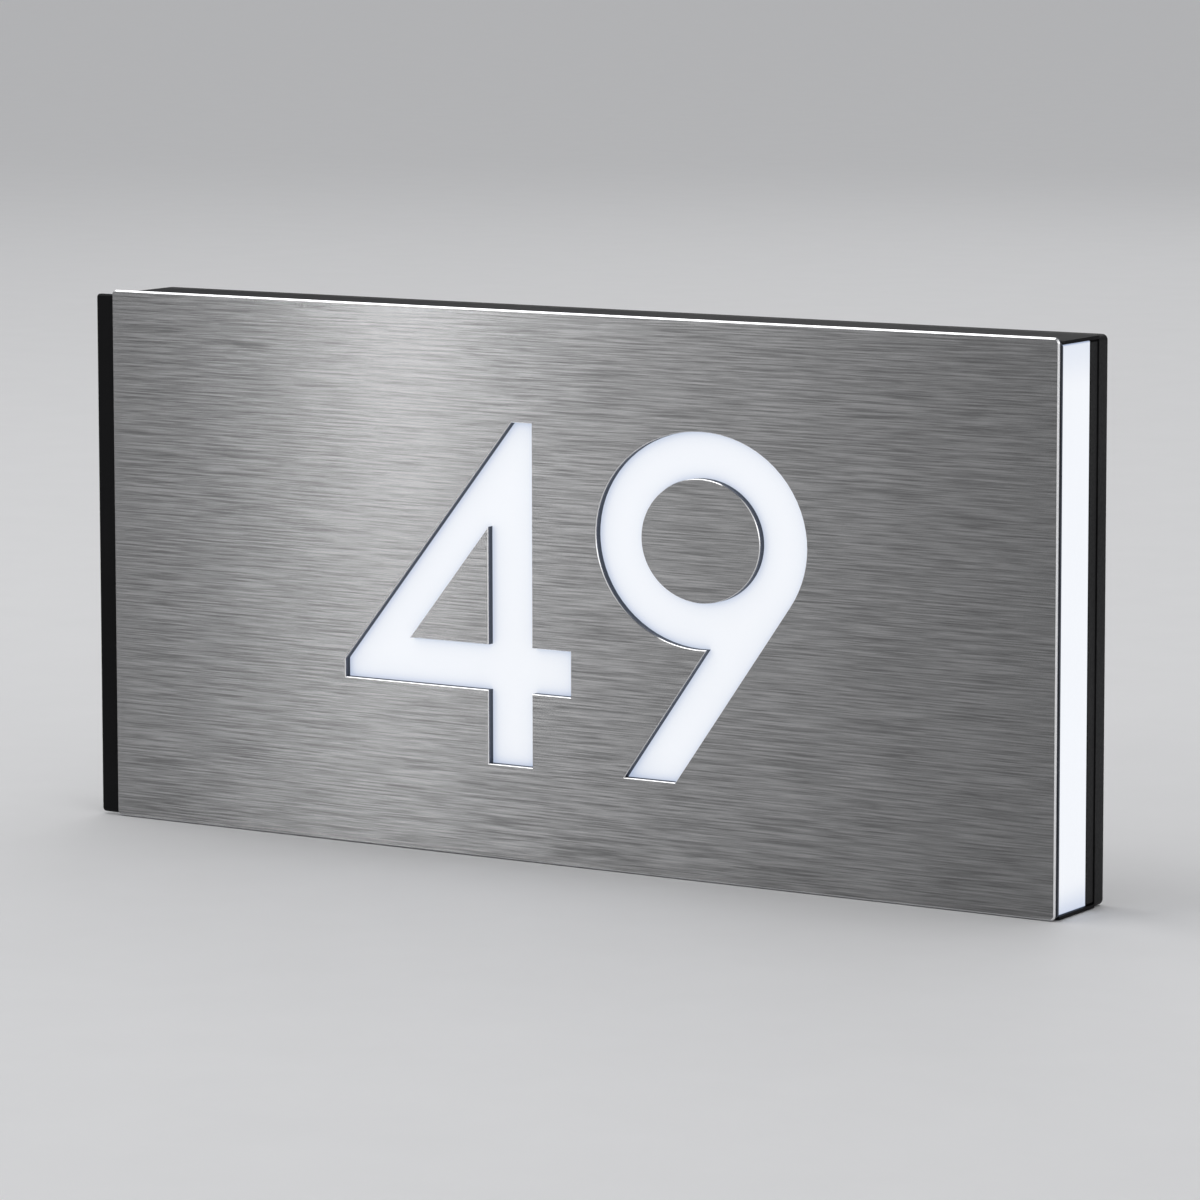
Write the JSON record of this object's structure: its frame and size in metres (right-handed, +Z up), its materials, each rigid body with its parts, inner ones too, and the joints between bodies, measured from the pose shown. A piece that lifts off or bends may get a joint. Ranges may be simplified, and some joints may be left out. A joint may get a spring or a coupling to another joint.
{
  "type": "illuminated house number plaque",
  "caption": "Slim rectangular house number plaque with a brushed steel front, numerals cut through it and a light behind them.",
  "frame": {"origin": "middle of the bottom of the whole plaque, as it stands on its lower edge", "axes": "+Z up the front, +X to the right of a person facing the numerals, +Y from the steel front to the wall"},
  "size_m": [0.3264, 0.03, 0.16],
  "materials": {
    "brushed_steel": "fine horizontal brush marks, satin",
    "black_sheet": "satin black powder coat",
    "casing_coat": "satin black powder coat",
    "stud_steel": "copper-flashed weld stud, dull",
    "pillar_metal": "nickelled brass, bright",
    "opal_panel": "opal acrylic, lit from behind",
    "opal_bar": "opal acrylic, lit from behind",
    "black_moulding": "fine-grained black moulding",
    "screw_zinc": "bright zinc plate",
    "screw_black": "black oxide",
    "white_sheet": "matt white coat",
    "lamp_board": "white solder mask on aluminium",
    "lamp_package": "yellow phosphor in a white package",
    "lead_white": "soft insulation",
    "lead_red": "soft insulation",
    "lead_black": "soft insulation",
    "grommet_rubber": "matt soft rubber",
    "driver_case": "white moulded case",
    "terminal_plastic": "pale moulded block",
    "terminal_metal": "bright plated"
  },
  "bodies": {
    "root": {"front_plate": "brushed_steel", "counter_four": "brushed_steel", "counter_nine": "brushed_steel", "backing_plate": "black_sheet", "counter_four_backing": "black_sheet", "counter_nine_backing": "black_sheet", "casing": "casing_coat", "plate_studs": "stud_steel", "hex_pillars": "pillar_metal", "diffuser_panel": "opal_panel", "light_bar": "opal_bar", "end_post": "black_moulding", "back_cover": "black_moulding", "post_screws": "screw_zinc", "tray_screws": "screw_zinc", "board_screws": "screw_zinc", "driver_screws": "screw_zinc", "cover_screws": "screw_black", "led_tray": "white_sheet", "led_board_lower": "lamp_board", "led_board_middle": "lamp_board", "led_board_upper": "lamp_board", "led_chips_lower": "lamp_package", "led_chips_middle": "lamp_package", "led_chips_upper": "lamp_package", "link_leads": "lead_white", "lead_positive": "lead_red", "lead_negative": "lead_black", "supply_leads": "lead_white", "cable_grommet": "grommet_rubber", "driver": "driver_case", "terminal_block": "terminal_plastic", "terminal_screws": "terminal_metal"}
  },
  "joints": []
}
